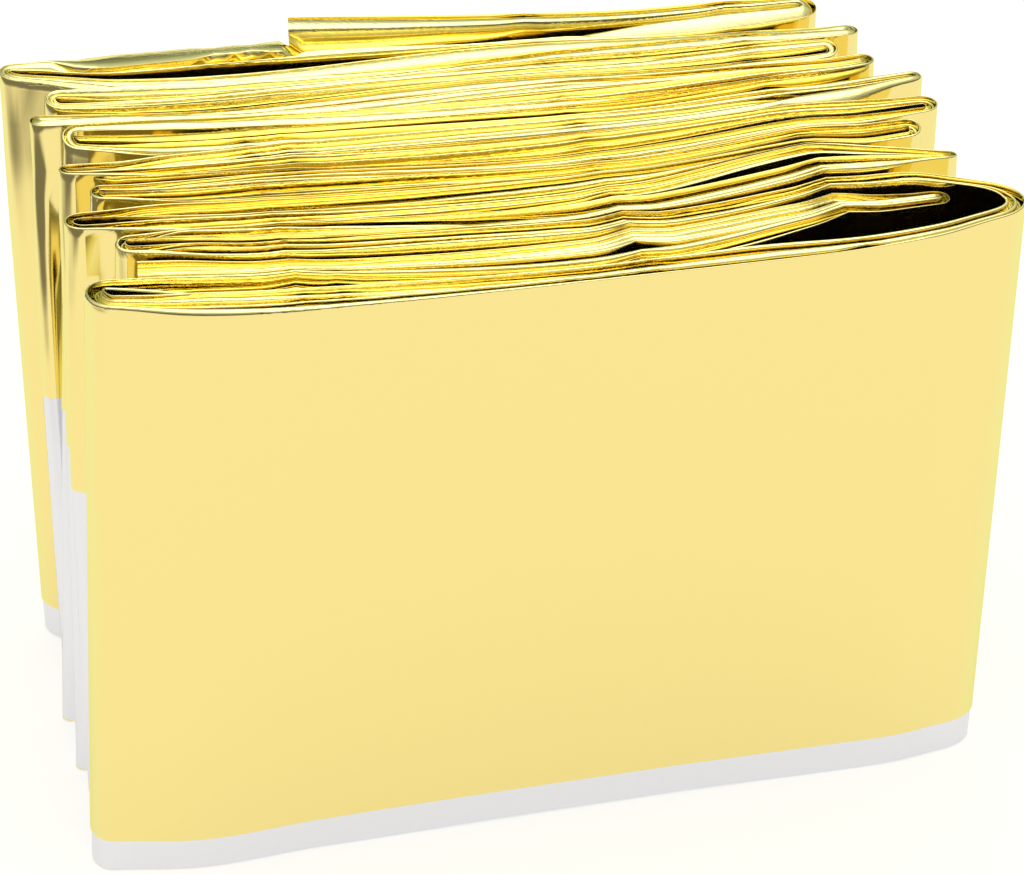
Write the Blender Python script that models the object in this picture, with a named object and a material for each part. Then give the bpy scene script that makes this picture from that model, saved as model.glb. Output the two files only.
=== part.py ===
"""Emergency foil blanket: one metallised film sheet folded to a strip, then into upright panels.

The sheet is 1400 x 2100 mm. It is folded across into a strip 79 mm high, and the strip goes back
and forth in nineteen panels about 105 mm long. The pack stands on its lower folds. Its left side is
fanned out backwards, more at the top than at the bottom, and its front panel is flat.
X runs along the panels, Y from the front panel to the loose tail at the back, Z is up.
Lengths are millimetres until the mesh is made.
"""

import math
from typing import NamedTuple

import bmesh
import bpy
import numpy as np

MM = 0.001                     # metres in a millimetre

# Driving dimensions, mm
HEIGHT = 79.2                  # the strip's height, which is the height of the pack
GAP = 0.36                     # least room between two neighbouring panels
HALF_MID = 1.75                # most that a panel swells to either side of its middle line
HALF_FOLD = 0.95               # the same at a fold, where the layers are pinched
SWELL_RUN = 12.0               # way from a fold to where a panel may reach its full thickness
LOOP_FILL = 0.72               # half thickness at a fold, as a share of its loop's radius
BEND_FILL = 0.75               # the same wherever the strip bends
BEND_REACH = 2                 # cross sections to either side that a tight bend also thins
HALF_LEAST = 0.30              # least half thickness of a pinched panel
RIDGE_DROP = 0.95              # height from the shoulder of the strip to its two top ridges
GROOVE_SHARE = 0.62            # depth of the groove between the ridges, as a share of the thickness
TOP_WAVE = 0.28                # slow rise and fall of a panel's top edge

# Where each panel's middle line is given, along X
STATIONS = (-50.0, -42.0, -29.0, 10.5, 35.5, 44.0, 51.0)


class Panel(NamedTuple):
    """Middle line of one panel at the top edge: Y at each station, and how far its top is sunk."""

    name: str
    end_left: float
    shoulder_left: float
    crease_a: float
    crease_b: float
    crease_c: float
    shoulder_right: float
    end_right: float
    sunk: float


class Fold(NamedTuple):
    """One lengthwise fold: where its outer edge stands along X, and how long its loop is drawn."""

    name: str
    tip_top: float
    tip_bottom: float
    pointed: float


# The panels from the front to the back
PANELS = (
    Panel("front", 9.0, 3.6, 1.3, 0.8, 0.6, 0.5, 1.7, 0.0),
    Panel("inner_a", 11.5, 10.9, 6.6, 3.6, 5.5, 5.7, 5.9, 0.5),
    Panel("inner_b", 13.0, 12.0, 11.0, 7.0, 8.8, 8.1, 7.9, 0.8),
    Panel("b", 19.6, 18.3, 14.7, 10.6, 12.1, 11.2, 6.8, 0.3),
    Panel("c", 21.5, 20.6, 18.1, 14.4, 15.4, 14.4, 13.9, 0.0),
    Panel("d", 24.7, 23.3, 21.4, 18.1, 21.2, 18.6, 15.8, 0.7),
    Panel("e", 27.1, 26.4, 24.7, 21.0, 22.8, 20.9, 21.2, 0.4),
    Panel("f", 31.8, 30.0, 28.2, 23.6, 24.4, 22.9, 23.1, 0.2),
    Panel("g", 33.7, 32.0, 30.4, 26.2, 26.6, 25.5, 25.8, 0.6),
    Panel("h", 35.8, 34.3, 32.9, 29.4, 29.1, 28.1, 28.1, 0.1),
    Panel("i", 37.7, 36.6, 36.2, 32.8, 32.3, 32.0, 32.9, 0.0),
    Panel("j", 45.2, 42.8, 40.4, 36.6, 35.9, 35.4, 35.4, 1.3),
    Panel("k", 47.0, 46.0, 44.0, 40.4, 38.5, 37.7, 38.2, 0.2),
    Panel("l", 48.8, 47.7, 45.8, 43.1, 40.7, 40.0, 40.4, 0.5),
    Panel("m", 50.7, 49.4, 47.6, 45.6, 42.8, 42.1, 42.2, 0.7),
    Panel("n", 52.9, 51.2, 49.4, 48.0, 44.9, 44.0, 43.9, 0.3),
    Panel("o", 55.1, 53.3, 51.5, 50.4, 47.0, 45.9, 45.8, 0.0),
    Panel("p", 59.4, 56.2, 54.6, 52.9, 49.4, 48.2, 48.0, 0.6),
    Panel("q", 62.4, 60.6, 59.4, 55.6, 52.0, 51.7, 51.9, 0.2),
    Panel("tail", 72.0, 70.0, 67.2, 60.0, 54.8, 53.9, 54.1, 0.0),
)

# The strip's run through the panels, from its inner end to its tail, and the fold after each panel
RUN = (
    ("inner_b", Fold("inner_right", 48.3, 48.0, 1.0)),
    ("inner_a", Fold("left_1", -52.8, -58.2, 1.0)),
    ("front", Fold("right_1", 55.9, 55.1, 1.5)),
    ("b", Fold("left_2", -47.8, -54.2, 1.2)),
    ("c", Fold("right_2", 52.1, 52.4, 1.3)),
    ("d", Fold("left_3", -52.8, -57.5, 1.5)),
    ("e", Fold("right_3", 50.1, 51.0, 1.0)),
    ("f", Fold("left_4", -48.9, -55.2, 1.0)),
    ("g", Fold("right_4", 53.9, 53.2, 1.1)),
    ("h", Fold("left_5", -51.9, -57.4, 1.6)),
    ("i", Fold("right_5", 54.6, 53.6, 1.2)),
    ("j", Fold("left_6", -50.3, -56.2, 1.0)),
    ("k", Fold("right_6", 49.9, 51.4, 1.0)),
    ("l", Fold("left_7", -53.6, -57.9, 1.0)),
    ("m", Fold("right_7", 41.5, 44.0, 1.0)),
    ("n", Fold("left_8", -51.2, -56.0, 1.2)),
    ("o", Fold("right_8", 50.4, 51.6, 1.0)),
    ("p", Fold("left_9", -55.2, -56.9, 1.1)),
    ("q", Fold("right_9", 46.9, 44.6, 1.0)),
    ("tail", None),
)
INNER_END = -31.0              # where the strip's inner end stops, along X
TAIL_END = -18.8               # where its loose outer end stops
PAST_END = 8.0                 # way past such an end where its neighbours may swell again


class Lean(NamedTuple):
    """How far the left side leans back at a place along the top: the foot stands this much nearer."""

    top_y: float
    set_back: float


LEANS = (Lean(0.0, 0.0), Lean(11.0, 5.4), Lean(32.0, 10.6), Lean(49.0, 15.2), Lean(62.0, 9.4), Lean(72.0, 9.4))
LEAN_RIGHT = 0.30              # the right side's lean, as a share of the left side's


class Crease(NamedTuple):
    """A cross crease that all layers share: where it stands, how far it pushes them back, its width."""

    at_x: float
    push: float
    reach: float
    from_y: float
    fade_y: float


CREASES = (
    Crease(-29.0, 0.9, 5.0, 4.0, 16.0),
    Crease(-24.5, 0.7, 4.0, 30.0, 12.0),
    Crease(10.5, 1.1, 6.0, 2.5, 34.0),
    Crease(35.5, 1.1, 5.0, 3.0, 20.0),
)

# Where all panels have a cross section, along X at the top edge
COLUMNS = (-46.0, -42.0, -36.0, -29.0, -24.5, -17.0, -9.0, 1.0, 10.5, 17.0, 26.0, 35.5, 40.0, 44.0, 48.0)
END_CLEAR = 1.2                # least way from a panel's end to its first cross section
FOOT_SPREAD = 5.4              # how far the foot's left end stands out beyond the top's
SPREAD_FROM = -8.0             # where that begins, along X
FOLD_STEPS = 5                 # cross sections between a fold's two ends
LINE_X = np.arange(-66.0, 66.5, 0.5)             # where room between panels is measured

FILM_COLOUR = (0.83, 0.62, 0.17, 1.0)


def monotone_curve(knots_x, knots_y, at):
    """Smooth curve through the knots that never overshoots them (Fritsch and Carlson's slopes)."""
    x = np.asarray(knots_x, dtype=float)
    y = np.asarray(knots_y, dtype=float)
    width = np.diff(x)
    rise = np.diff(y) / width
    slope = np.zeros(len(x))
    slope[0] = rise[0]
    slope[-1] = rise[-1]
    same_way = rise[:-1] * rise[1:] > 0.0
    weight_a = 2.0 * width[1:] + width[:-1]
    weight_b = width[1:] + 2.0 * width[:-1]
    safe_a = np.where(same_way, rise[:-1], 1.0)
    safe_b = np.where(same_way, rise[1:], 1.0)
    mean = (weight_a + weight_b) / (weight_a / safe_a + weight_b / safe_b)
    slope[1:-1] = np.where(same_way, mean, 0.0)
    at = np.asarray(at, dtype=float)
    i = np.clip(np.searchsorted(x, at) - 1, 0, len(width) - 1)
    t = (at - x[i]) / width[i]
    inside = np.clip(t, 0.0, 1.0)
    value = (
        (1.0 + 2.0 * inside) * (1.0 - inside) ** 2 * y[i]
        + inside * (1.0 - inside) ** 2 * width[i] * slope[i]
        + inside**2 * (3.0 - 2.0 * inside) * y[i + 1]
        + inside**2 * (inside - 1.0) * width[i] * slope[i + 1]
    )
    past = (t - inside) * width[i]
    return value + past * np.where(past > 0.0, slope[i + 1], slope[i])


def crease_push(x, y):
    """Tent-shaped push backwards at the shared creases, none on the front panel."""
    total = np.zeros_like(y)
    for crease in CREASES:
        tent = np.clip(1.0 - np.abs(x - crease.at_x) / crease.reach, 0.0, 1.0) ** 1.4
        depth = (y - crease.from_y) / crease.fade_y
        share = np.clip(depth * 4.0, 0.0, 1.0) * np.exp(-np.clip(depth, 0.0, None) ** 2)
        total += crease.push * tent * share
    return total


def foot_x(x):
    """Place along X at the foot that stands under a place at the top edge: its left side spreads."""
    share = np.clip((SPREAD_FROM - x) / (SPREAD_FROM - STATIONS[0]), 0.0, 1.0)
    return x - FOOT_SPREAD * share**2


def panel_line(panel, x, foot):
    """Y of a panel's middle line at X, at the top edge (foot 0) or at the foot (foot 1)."""
    if foot:
        x = np.interp(x, foot_x(LINE_X), LINE_X)
    y = monotone_curve(STATIONS, panel[1:8], x)
    y = y + crease_push(x, y)
    lean = np.interp(y, [row.top_y for row in LEANS], [row.set_back for row in LEANS])
    across = np.clip((x - STATIONS[0]) / (STATIONS[-1] - STATIONS[0]), 0.0, 1.0)
    return y - foot * lean * (1.0 + (LEAN_RIGHT - 1.0) * across)


class Section(NamedTuple):
    """Cross section of the strip at one place along its run, at the top and at the foot."""

    top: tuple
    foot: tuple
    half_left: tuple
    half_right: tuple
    crest: float


def plan_lines():
    """Dense middle lines of all panels in plan, for the top edge and for the foot."""
    return [
        [np.stack([LINE_X, panel_line(panel, LINE_X, foot)], axis=1) for panel in PANELS]
        for foot in (0, 1)
    ]


LINES = plan_lines()


def room_beside(index, point, foot, step):
    """Half of the way from a point of a panel's middle line to its neighbour's line, less half the gap."""
    other = index + step
    if not 0 <= other < len(PANELS):
        return HALF_MID
    if PANELS[other].name == "tail" and point[0] < TAIL_END - PAST_END:
        return HALF_MID
    if PANELS[other].name == "inner_b" and point[0] < INNER_END - PAST_END:
        other += step
    away = np.hypot(*(LINES[foot][other] - np.asarray(point)).T)
    return away.min() / 2.0 - GAP / 2.0


def swell_limit(fold_half, from_fold):
    """Half thickness that a panel may have at a distance from a fold of the given half thickness."""
    t = min(1.0, max(0.0, from_fold / SWELL_RUN))
    return fold_half + (HALF_MID - fold_half) * t * t * (3.0 - 2.0 * t)


class Loop(NamedTuple):
    """Bend that joins two panels in plan: its two ends, the ways they run, its reach and thickness."""

    start: np.ndarray
    end: np.ndarray
    start_way: np.ndarray
    end_way: np.ndarray
    reach: float
    half: float


def way_out(panel, x, side, foot):
    """Unit direction in which a panel's middle line runs out into its fold."""
    ahead = panel_line(panel, np.array([x, x + side]), foot)
    way = np.array([side, ahead[1] - ahead[0]])
    return way / np.linalg.norm(way)


def fold_loop(index, after, tip, pointed, foot):
    """The loop from one panel to the next whose outer edge touches the tip's place along X."""
    side = math.copysign(1.0, tip)
    x = tip - side * 3.0
    for _ in range(4):
        ends = [np.array([x, float(panel_line(PANELS[i], np.array([x]), foot)[0])]) for i in (index, after)]
        radius = np.linalg.norm(ends[1] - ends[0]) / 2.0
        room = room_beside(index, ends[0], foot, after - index)
        half = max(HALF_LEAST, min(HALF_FOLD, room, LOOP_FILL * radius / pointed))
        x = tip - side * (half + radius * pointed)
    ways = [way_out(PANELS[i], x, side, foot) for i in (index, after)]
    return Loop(ends[0], ends[1], ways[0], ways[1], radius * pointed, half)


def loop_point(loop, t):
    """Point of a loop at t from 0 to 1: a cubic that leaves and meets both panels in their own ways."""
    pull = 4.0 * loop.reach
    return (
        (2.0 * t**3 - 3.0 * t**2 + 1.0) * loop.start
        + (t**3 - 2.0 * t**2 + t) * pull * loop.start_way
        + (3.0 * t**2 - 2.0 * t**3) * loop.end
        - (t**3 - t**2) * pull * loop.end_way
    )


def crest_height(panel, x):
    """Height of a panel's top edge at X: sunk by its own amount, with a slow wave."""
    phase = 1.7 * PANELS.index(panel)
    if panel.name == "front":
        return HEIGHT
    return HEIGHT - panel.sunk - TOP_WAVE * (1.0 + math.sin(x / 11.0 + phase))


def columns_between(tops, feet, rightward):
    """Places of a panel's cross sections, at the top edge and at the foot, in the order of its run."""
    low, high = min(tops), max(tops)
    inner = [x for x in COLUMNS if low + END_CLEAR < x < high - END_CLEAR]
    pairs = [(x, foot_x(x)) for x in inner]
    if not rightward:
        pairs.reverse()
    return [(tops[0], feet[0]), *pairs, (tops[1], feet[1])]


class End(NamedTuple):
    """End of a panel: its place along X, and the half thickness of the fold there."""

    x: float
    half: float


def panel_ends(place, foot):
    """Start and end of a panel of the run, at its two folds or at the strip's own ends."""
    names = [panel.name for panel in PANELS]
    index = names.index(RUN[place][0])
    before = RUN[place - 1][1] if place else None
    fold = RUN[place][1]
    start = End(foot_x(INNER_END) if foot else INNER_END, HALF_MID)
    end = End(foot_x(TAIL_END) if foot else TAIL_END, HALF_MID)
    if before is not None:
        tip = before.tip_bottom if foot else before.tip_top
        loop = fold_loop(names.index(RUN[place - 1][0]), index, tip, before.pointed, foot)
        start = End(float(loop.end[0]), loop.half)
    if fold is not None:
        tip = fold.tip_bottom if foot else fold.tip_top
        loop = fold_loop(index, names.index(RUN[place + 1][0]), tip, fold.pointed, foot)
        end = End(float(loop.start[0]), loop.half)
    return start, end


def panel_section(place, index, xs, ends):
    """One cross section of a panel, from its places along X at the top edge and at the foot."""
    points = []
    halves = []
    for foot, x in enumerate(xs):
        point = (x, float(panel_line(PANELS[index], np.array([x]), foot)[0]))
        limit = min(swell_limit(end.half, abs(x - end.x)) for end in ends[foot])
        points.append(point)
        halves.append([
            max(HALF_LEAST, min(limit, room_beside(index, point, foot, step))) for step in (1, -1)
        ])
    # A panel that runs to the right has the back of the pack on its left
    left, right = (0, 1) if place % 2 == 0 else (1, 0)
    return Section(
        points[0], points[1],
        (halves[0][left], halves[1][left]),
        (halves[0][right], halves[1][right]),
        crest_height(PANELS[index], xs[0]),
    )


def strip_sections():
    """All cross sections of the strip, from its inner end to its tail."""
    names = [panel.name for panel in PANELS]
    order = [names.index(name) for name, _ in RUN]
    sections = []
    for place, (_, fold) in enumerate(RUN):
        ends = [panel_ends(place, foot) for foot in (0, 1)]
        tops, feet = [(start.x, end.x) for start, end in ends]
        for xs in columns_between(tops, feet, place % 2 == 0):
            sections.append(panel_section(place, order[place], xs, ends))
        if fold is not None:
            sections += fold_sections(order[place], order[place + 1], fold)
    return clear_of_bends(sections)


def fold_sections(index, after, fold):
    """Cross sections round the loop that joins a panel to the next one."""
    loops = [fold_loop(index, after, tip, fold.pointed, foot) for foot, tip in ((0, fold.tip_top), (1, fold.tip_bottom))]
    half = (loops[0].half, loops[1].half)
    first = crest_height(PANELS[index], loops[0].start[0])
    last = crest_height(PANELS[after], loops[0].end[0])
    sections = []
    for k in range(1, FOLD_STEPS + 1):
        t = k / (FOLD_STEPS + 1)
        points = [tuple(loop_point(loop, t)) for loop in loops]
        sections.append(Section(points[0], points[1], half, half, first + (last - first) * t))
    return sections


def bend_limits(points):
    """Most that a wall may stand off its middle line, to the left and to the right, at each point.

    Three neighbouring points lie on a circle of radius a*b*c / (4 * area). The wall on the inner
    side of that bend stays within a share of the radius, or it would fold over itself, and so does
    the wall at the next points either way.
    """
    line = np.asarray(points)
    first = line[1:-1] - line[:-2]
    second = line[2:] - line[1:-1]
    across = line[2:] - line[:-2]
    turn = first[:, 0] * second[:, 1] - first[:, 1] * second[:, 0]
    lengths = [np.linalg.norm(side, axis=1) for side in (first, second, across)]
    radius = np.prod(lengths, axis=0) / np.maximum(2.0 * np.abs(turn), 1e-6)
    limit = np.full((2, len(line)), HALF_MID)
    limit[0, 1:-1] = np.where(turn > 0.0, BEND_FILL * radius, HALF_MID)
    limit[1, 1:-1] = np.where(turn < 0.0, BEND_FILL * radius, HALF_MID)
    spread = np.pad(limit, ((0, 0), (BEND_REACH, BEND_REACH)), mode="edge")
    return np.lib.stride_tricks.sliding_window_view(spread, 2 * BEND_REACH + 1, axis=1).min(axis=2)


def clear_of_bends(sections):
    """The sections with their half thicknesses kept within what the bends allow."""
    top = bend_limits([section.top for section in sections])
    foot = bend_limits([section.foot for section in sections])
    kept = []
    for i, section in enumerate(sections):
        left = (min(section.half_left[0], top[0, i]), min(section.half_left[1], foot[0, i]))
        right = (min(section.half_right[0], top[1, i]), min(section.half_right[1], foot[1, i]))
        kept.append(section._replace(half_left=left, half_right=right))
    return kept


def side_directions(points):
    """Unit directions to the left of a plan line, at each of its points."""
    line = np.asarray(points)
    along = np.zeros_like(line)
    along[1:-1] = line[2:] - line[:-2]
    along[0] = line[1] - line[0]
    along[-1] = line[-1] - line[-2]
    along /= np.linalg.norm(along, axis=1)[:, None]
    return np.stack([-along[:, 1], along[:, 0]], axis=1)


def ring_points(section, left_top, left_foot):
    """One ring round the strip: flat foot, two walls, and two top ridges with a groove between."""
    top = np.array(section.top)
    foot = np.array(section.foot)
    crest = section.crest
    wide = section.half_left[0] + section.half_right[0]
    groove = min(RIDGE_DROP * 1.1, GROOVE_SHARE * wide)
    profile = (
        (1.00, RIDGE_DROP),
        (0.68, 0.12),
        (0.28, 0.16),
        (-0.02, groove),
        (-0.30, 0.30),
        (-0.70, 0.24),
        (-1.00, RIDGE_DROP),
    )
    ring = [(*(foot + left_foot * section.half_left[1]), 0.0)]
    for share, down in profile:
        half = section.half_left[0] if share > 0 else section.half_right[0]
        ring.append((*(top + left_top * share * half), crest - down))
    ring.append((*(foot - left_foot * section.half_right[1]), 0.0))
    return ring


def build_blanket():
    """The folded strip as one closed solid, stood on its foot with its box centred on the origin."""
    sections = strip_sections()
    left_top = side_directions([section.top for section in sections])
    left_foot = side_directions([section.foot for section in sections])
    rings = np.array([
        ring_points(section, left_top[i], left_foot[i]) for i, section in enumerate(sections)
    ])
    middle = (rings.min(axis=(0, 1)) + rings.max(axis=(0, 1))) / 2.0
    rings[:, :, :2] -= middle[:2]
    mesh = bpy.data.meshes.new("foil_blanket")
    shape = bmesh.new()
    corners = [[shape.verts.new(point * MM) for point in ring] for ring in rings]
    count = len(corners[0])
    for i, (before, after) in enumerate(zip(corners[:-1], corners[1:])):
        rightward = sections[i + 1].top[0] > sections[i].top[0]
        for k in range(count):
            square = (before[k], before[(k + 1) % count], after[(k + 1) % count], after[k])
            # Facing walls are split along like diagonals, so that they stay apart where they twist
            first = 1 if rightward == (k < count // 2) else 0
            shape.faces.new((square[first], square[first + 1], square[first + 2]))
            shape.faces.new((square[first], square[first + 2], square[(first + 3) % 4]))
    ends = [shape.faces.new(corners[0][::-1]), shape.faces.new(corners[-1])]
    bmesh.ops.triangulate(shape, faces=ends)
    bmesh.ops.recalc_face_normals(shape, faces=shape.faces[:])
    shape.to_mesh(mesh)
    shape.free()
    return bpy.data.objects.new("foil_blanket", mesh)


def film_material():
    """Polyester film with a thin metal coat, its gold side out."""
    material = bpy.data.materials.new("gold_film")
    material.use_nodes = True
    shader = material.node_tree.nodes["Principled BSDF"]
    shader.inputs["Base Color"].default_value = FILM_COLOUR
    shader.inputs["Metallic"].default_value = 1.0
    shader.inputs["Roughness"].default_value = 0.18
    return material


def main():
    """Clear the scene and model the blanket."""
    for thing in list(bpy.data.objects):
        bpy.data.objects.remove(thing)
    blanket = build_blanket()
    blanket.data.materials.append(film_material())
    bpy.context.scene.collection.objects.link(blanket)


main()
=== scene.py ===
"""Emergency foil blanket: one metallised film sheet, folded to a strip and into an upright pack.

The sheet is folded across into eighteen plies, which make a strip 79 mm high. The strip runs back
and forth in panels about 105 mm long, and stands on its lower folds. Its gold side shows from above
and its silver side from below. X runs along the panels, Y from the front panel to the loose tail, Z
is up. Lengths are millimetres until a mesh is made.
"""

import logging
import math
from collections.abc import Callable
from dataclasses import dataclass
from enum import Enum

import bpy
import numpy as np
from bpy.types import Material, Node, NodeSocket, NodeTree, Object, bpy_prop_collection
from mathutils import Matrix, Vector


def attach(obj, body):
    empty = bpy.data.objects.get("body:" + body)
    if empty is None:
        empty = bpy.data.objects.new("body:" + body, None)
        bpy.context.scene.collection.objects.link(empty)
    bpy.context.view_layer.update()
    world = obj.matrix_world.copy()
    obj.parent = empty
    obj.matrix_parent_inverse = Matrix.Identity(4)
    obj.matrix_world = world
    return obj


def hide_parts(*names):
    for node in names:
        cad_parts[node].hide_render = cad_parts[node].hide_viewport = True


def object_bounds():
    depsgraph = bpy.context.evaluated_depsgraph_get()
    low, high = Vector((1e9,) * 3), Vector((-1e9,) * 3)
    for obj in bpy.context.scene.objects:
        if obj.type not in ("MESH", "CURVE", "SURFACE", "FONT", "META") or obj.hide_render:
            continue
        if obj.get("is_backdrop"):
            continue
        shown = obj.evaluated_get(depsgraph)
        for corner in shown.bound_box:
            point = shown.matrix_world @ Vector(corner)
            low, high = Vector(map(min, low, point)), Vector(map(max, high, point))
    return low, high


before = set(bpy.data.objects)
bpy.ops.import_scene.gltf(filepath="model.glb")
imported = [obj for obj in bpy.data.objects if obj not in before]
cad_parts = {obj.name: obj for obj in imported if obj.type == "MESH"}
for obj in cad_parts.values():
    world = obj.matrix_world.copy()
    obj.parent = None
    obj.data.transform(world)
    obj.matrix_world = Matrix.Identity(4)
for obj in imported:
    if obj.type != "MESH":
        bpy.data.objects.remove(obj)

LOG = logging.getLogger("foil_blanket")

MM = 0.001  # metres in a millimetre
HEIGHT = 79.2  # height of the strip
CENTRE = (-1.209, 32.845)  # middle of the pack in the tables below, which becomes the origin
STATIONS = (-50.0, -42.0, -29.0, 10.5, 35.5, 44.0, 51.0)  # X of the places in the panels' table
FLUFF = 0.3  # usual looseness of a fold
TINY = 1e-6  # keeps a straight run from a division by zero
BLACK = (0.0, 0.0, 0.0, 1.0)
WHITE = (1.0, 1.0, 1.0, 1.0)
NODE = "foil_blanket"


@dataclass(frozen=True)
class Panel:
    """Middle line of a panel in plan at its top edge: Y at each station, and how far it is sunk."""

    name: str
    line: tuple[float, ...]
    sunk: float


@dataclass(frozen=True)
class Turn:
    """A panel of the strip's run, and the fold after it."""

    panel: str
    tip_top: float | None = None  # X of the fold's outer edge at the top, none at the last panel
    tip_bottom: float | None = None  # and at the foot
    pointed: float = 1.0  # its reach as a share of its radius
    fluff: float = FLUFF


@dataclass(frozen=True)
class Lean:
    """How much nearer to the front the foot of the left side stands, at a place along the top."""

    top_y: float
    set_back: float


@dataclass(frozen=True)
class Crease:
    """Cross crease shared by the panels: its place along X, its push, width, start and depth."""

    at_x: float
    push: float
    reach: float
    from_y: float
    fade_y: float


@dataclass(frozen=True)
class Looseness:
    """Half thickness that one side of a panel may reach at its left and its right end."""

    panel: str
    step: int  # 1 for the side towards the back, -1 for the other
    left: float
    right: float


PANELS = (
    Panel("front", (7.4, 4.7, 2.4, 0.25, -0.35, 0.1, 1.4), 0.0),
    Panel("inner_a", (11.8, 10.4, 8.4, 3.6, 5.5, 5.7, 5.9), 0.5),
    Panel("inner_b", (15.4, 14.3, 12.0, 7.0, 8.8, 8.1, 7.9), 0.8),
    Panel("b", (19.6, 18.3, 14.7, 10.6, 12.1, 11.2, 7.6), 0.3),
    Panel("c", (21.5, 20.6, 18.1, 14.4, 15.4, 14.4, 13.9), 0.0),
    Panel("d", (24.7, 23.3, 21.4, 18.1, 21.2, 18.6, 15.8), 0.7),
    Panel("e", (27.1, 26.4, 24.7, 21.0, 22.8, 20.9, 21.2), 0.4),
    Panel("f", (31.8, 30.0, 28.2, 23.6, 24.4, 22.9, 23.1), 0.2),
    Panel("g", (33.7, 32.0, 30.4, 26.2, 26.6, 25.5, 25.8), 0.6),
    Panel("h", (35.8, 34.3, 32.9, 29.4, 29.1, 28.1, 28.1), 0.1),
    Panel("i", (37.7, 36.6, 36.2, 32.8, 32.3, 32.0, 32.9), 0.0),
    Panel("j", (45.2, 42.8, 40.4, 36.6, 35.9, 35.4, 35.4), 1.3),
    Panel("k", (47.0, 46.0, 44.0, 40.4, 38.5, 37.7, 38.2), 0.2),
    Panel("l", (48.8, 47.7, 45.8, 43.1, 40.7, 40.0, 40.4), 0.5),
    Panel("m", (50.7, 49.4, 47.6, 45.6, 42.8, 42.1, 42.2), 0.7),
    Panel("n", (52.9, 51.2, 49.4, 48.0, 44.9, 44.0, 43.9), 0.3),
    Panel("o", (55.1, 53.3, 51.5, 50.4, 47.0, 45.9, 45.8), 0.0),
    Panel("p", (59.4, 56.2, 54.6, 52.9, 49.4, 48.2, 48.0), 0.6),
    Panel("q", (62.8, 61.3, 60.1, 55.6, 52.0, 51.7, 51.9), 0.2),
    Panel("tail", (72.6, 70.6, 67.6, 60.3, 55.3, 54.6, 55.0), 0.0),
)

INDEX = {panel.name: place for place, panel in enumerate(PANELS)}

RUN = (
    Turn("inner_b", 48.3, 48.0),
    Turn("inner_a", -52.8, -58.2, 0.8, 1.0),
    Turn("front", 56.6, 55.7, 1.1, 0.9),
    Turn("b", -47.8, -54.2, 1.2),
    Turn("c", 52.1, 52.4, 1.3),
    Turn("d", -52.8, -56.7, 1.5),
    Turn("e", 50.1, 51.0),
    Turn("f", -48.9, -57.6),
    Turn("g", 53.9, 53.2, 1.1),
    Turn("h", -51.9, -57.1, 1.6),
    Turn("i", 54.6, 53.6, 1.2),
    Turn("j", -50.3, -57.9),
    Turn("k", 49.9, 51.4),
    Turn("l", -53.6, -57.1),
    Turn("m", 46.5, 47.0),
    Turn("n", -51.2, -56.0, 1.2),
    Turn("o", 50.4, 51.6),
    Turn("p", -55.8, -57.7, 1.1),
    Turn("q", 46.9, 44.6),
    Turn("tail"),
)

LEANS = (
    Lean(0.0, 0.0), Lean(11.0, 5.4), Lean(32.0, 10.6),
    Lean(49.0, 15.2), Lean(62.0, 9.4), Lean(72.0, 9.4),
)

CREASES = (
    Crease(-29.0, 0.7, 5.0, 4.0, 16.0),
    Crease(-24.5, 0.4, 4.0, 30.0, 12.0),
    Crease(10.5, 1.5, 5.0, 2.5, 15.0),
    Crease(35.5, 1.4, 4.5, 3.0, 12.0),
)

LOOSE = (
    Looseness("front", 1, 4.2, 0.75),
    Looseness("inner_a", -1, 4.2, 0.8),
    Looseness("inner_a", 1, 3.9, 1.2),
    Looseness("b", -1, 2.4, 0.9),
    Looseness("q", 1, 5.0, 1.75),
    Looseness("tail", -1, 1.3, 1.75),
)

# Shift along Y of the front panel's foot, at the stations
FRONT_FOOT = (-1.1, -1.6, -0.24, 0.5, 0.13, -0.6, -1.2)


def monotone_curve(knots_x: tuple, knots_y: tuple, at: np.ndarray) -> np.ndarray:
    """Smooth curve through knots that never overshoots them.

    Between two knots it is the cubic with Fritsch and Carlson's slopes: the weighted harmonic mean
    of the two neighbouring slopes, or level where they point opposite ways. Past the ends it is
    straight.

    Args:
        knots_x: places of the knots.
        knots_y: values at the knots.
        at: places to read.

    Returns:
        The curve's values.
    """
    x = np.asarray(knots_x, dtype=float)
    y = np.asarray(knots_y, dtype=float)
    width = np.diff(x)
    rise = np.diff(y) / width
    same = rise[:-1] * rise[1:] > 0.0
    before = 2.0 * width[1:] + width[:-1]
    after = width[1:] + 2.0 * width[:-1]
    mean = (before + after) / (
        before / np.where(same, rise[:-1], 1.0) + after / np.where(same, rise[1:], 1.0)
    )
    slope = np.concatenate([rise[:1], np.where(same, mean, 0.0), rise[-1:]])
    i = np.clip(np.searchsorted(x, at) - 1, 0, len(width) - 1)
    t = (at - x[i]) / width[i]
    u = np.clip(t, 0.0, 1.0)
    value = (
        (1.0 + 2.0 * u) * (1.0 - u) ** 2 * y[i] + u * (1.0 - u) ** 2 * width[i] * slope[i]
        + u**2 * (3.0 - 2.0 * u) * y[i + 1] + u**2 * (u - 1.0) * width[i] * slope[i + 1]
    )
    past = (t - u) * width[i]
    return value + past * np.where(past > 0.0, slope[i + 1], slope[i])


def smooth_step(t: np.ndarray) -> np.ndarray:
    """0 below 0, 1 above 1, and 3t^2 - 2t^3 between."""
    t = np.clip(t, 0.0, 1.0)
    return t * t * (3.0 - 2.0 * t)


@dataclass(frozen=True)
class Ramp:
    """Smooth rise from 0 at its start to 1 past it, which is to the left if over is negative."""

    start: float
    over: float

    def at(self, x: np.ndarray) -> np.ndarray:
        """The smooth step of (x - start) / over."""
        return smooth_step((x - self.start) / self.over)


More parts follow.
